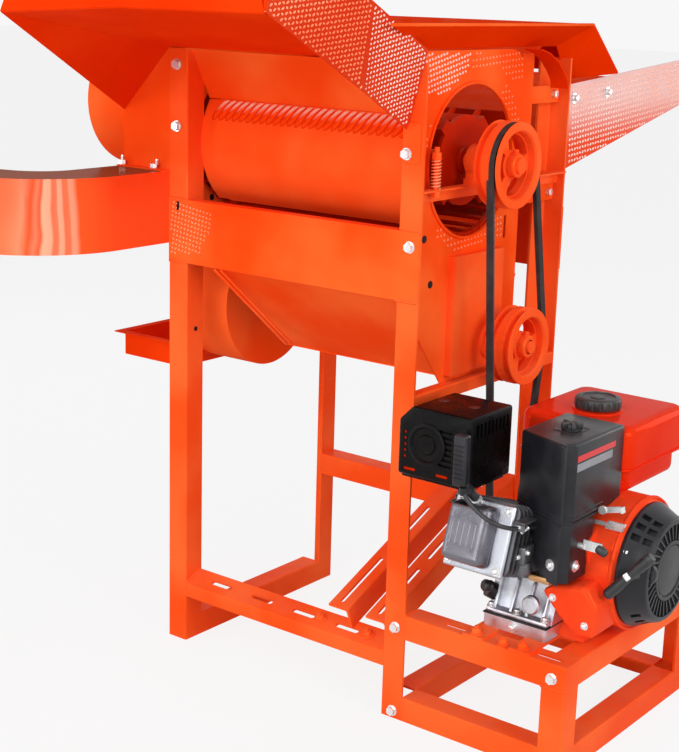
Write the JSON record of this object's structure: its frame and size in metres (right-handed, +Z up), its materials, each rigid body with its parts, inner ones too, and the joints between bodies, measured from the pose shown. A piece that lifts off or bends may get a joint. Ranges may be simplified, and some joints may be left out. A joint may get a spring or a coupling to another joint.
{
  "type": "threshing machine",
  "caption": "Belt-driven threshing machine on an angle-iron frame, with feed trays, straw chute, fan and grain tray, and a small petrol engine on a bolted bed.",
  "frame": {"origin": "middle of the machine's outline on the floor", "axes": "+Z up, +X along the drum towards the engine, +Y from the feeding side to the rear tray"},
  "size_m": [1.139, 1.219, 1.18],
  "materials": {
    "paint": "gloss",
    "silver_metal": "cast satin",
    "cover_metal": "smooth satin",
    "steel": "bare",
    "zinc": "zinc plated",
    "dark_steel": "satin",
    "black_plastic": "satin",
    "belt_rubber": "matt",
    "lead_rubber": "satin",
    "tank_paint": "gloss",
    "blower_paint": "gloss"
  },
  "bodies": {
    "machine": {"adjuster_bolt": "dark_steel", "adjuster_spring": "dark_steel", "air_cleaner": "black_plastic", "back_tray": "paint", "back_wings": "paint", "beam_back": "paint", "beam_front": "paint", "bearing_bar": "paint", "bearing_channel": "paint", "bed_posts": "paint", "bed_top_rails": "paint", "blower_housing": "blower_paint", "concave": "paint", "crankcase": "silver_metal", "cross_bars": "paint", "cylinder": "silver_metal", "drive_belt": "belt_rubber", "drum_guard": "paint", "end_plate_left": "paint", "end_plate_right": "paint", "engine_cross_rails": "paint", "fan_housing": "paint", "floor_rails": "paint", "frame_bolts": "zinc", "front_apron": "paint", "front_low_rail": "paint", "front_tray": "paint", "fuel_tank": "tank_paint", "grain_tray": "paint", "hopper_rims": "paint", "ignition_lead": "lead_rubber", "inclined_rails": "paint", "muffler": "dark_steel", "oil_plug": "black_plastic", "posts": "paint", "rear_guard": "paint", "rear_hood": "paint", "recoil_cover": "black_plastic", "shaft_bearings": "paint", "spark_cap": "black_plastic", "straw_box": "paint", "straw_chute": "paint", "straw_round_end": "paint", "trough": "paint", "valve_cover": "cover_metal", "wing_front_right": "paint"},
    "drum": {"drum_shaft": "steel", "drum_rotor": "paint", "drum_pegs": "paint", "straw_paddles": "paint", "drum_pulley": "paint"},
    "fan": {"fan_shaft": "steel", "fan_wheel": "paint", "fan_pulley": "paint"},
    "crank": {"engine_shaft": "steel", "engine_pulley": "dark_steel"},
    "grip": {"starter_grip": "black_plastic"},
    "throttle": {"throttle_lever": "zinc"},
    "choke": {"choke_lever": "zinc"},
    "cap": {"fuel_cap": "black_plastic"}
  },
  "joints": [
    {"name": "drum_spin", "type": "hinge", "parent": "machine", "child": "drum", "pos_m": [-0.06051, -0.0815, 0.882], "axis": [1, 0, 0], "continuous": true},
    {"name": "fan_spin", "type": "hinge", "parent": "machine", "child": "fan", "pos_m": [-0.06051, -0.0195, 0.59], "axis": [1, 0, 0], "continuous": true},
    {"name": "crank_spin", "type": "hinge", "parent": "machine", "child": "crank", "pos_m": [0.28349, -0.0485, 0.29], "axis": [1, 0, 0], "continuous": true},
    {"name": "starter_pull", "type": "slide", "parent": "machine", "child": "grip", "axis": [0, -0.9848, 0.1736], "range_m": [0, 0.12], "stiffness_N_per_m": 60},
    {"name": "throttle_turn", "type": "hinge", "parent": "machine", "child": "throttle", "pos_m": [0.46949, -0.1268, 0.393], "axis": [0, -1, 0], "range_deg": [0, 35]},
    {"name": "choke_turn", "type": "hinge", "parent": "machine", "child": "choke", "pos_m": [0.45779, -0.1785, 0.349], "axis": [1, 0, 0], "range_deg": [0, 40]},
    {"name": "fuel_cap_turn", "type": "hinge", "parent": "machine", "child": "cap", "pos_m": [0.37649, 0.0095, 0.52], "axis": [0, 0, 1], "range_deg": [0, 90]}
  ],
  "couplings": [
    {"joint": "fan_spin", "follows": "drum_spin", "ratio": 1.0776},
    {"joint": "crank_spin", "follows": "drum_spin", "ratio": 1.4881}
  ]
}
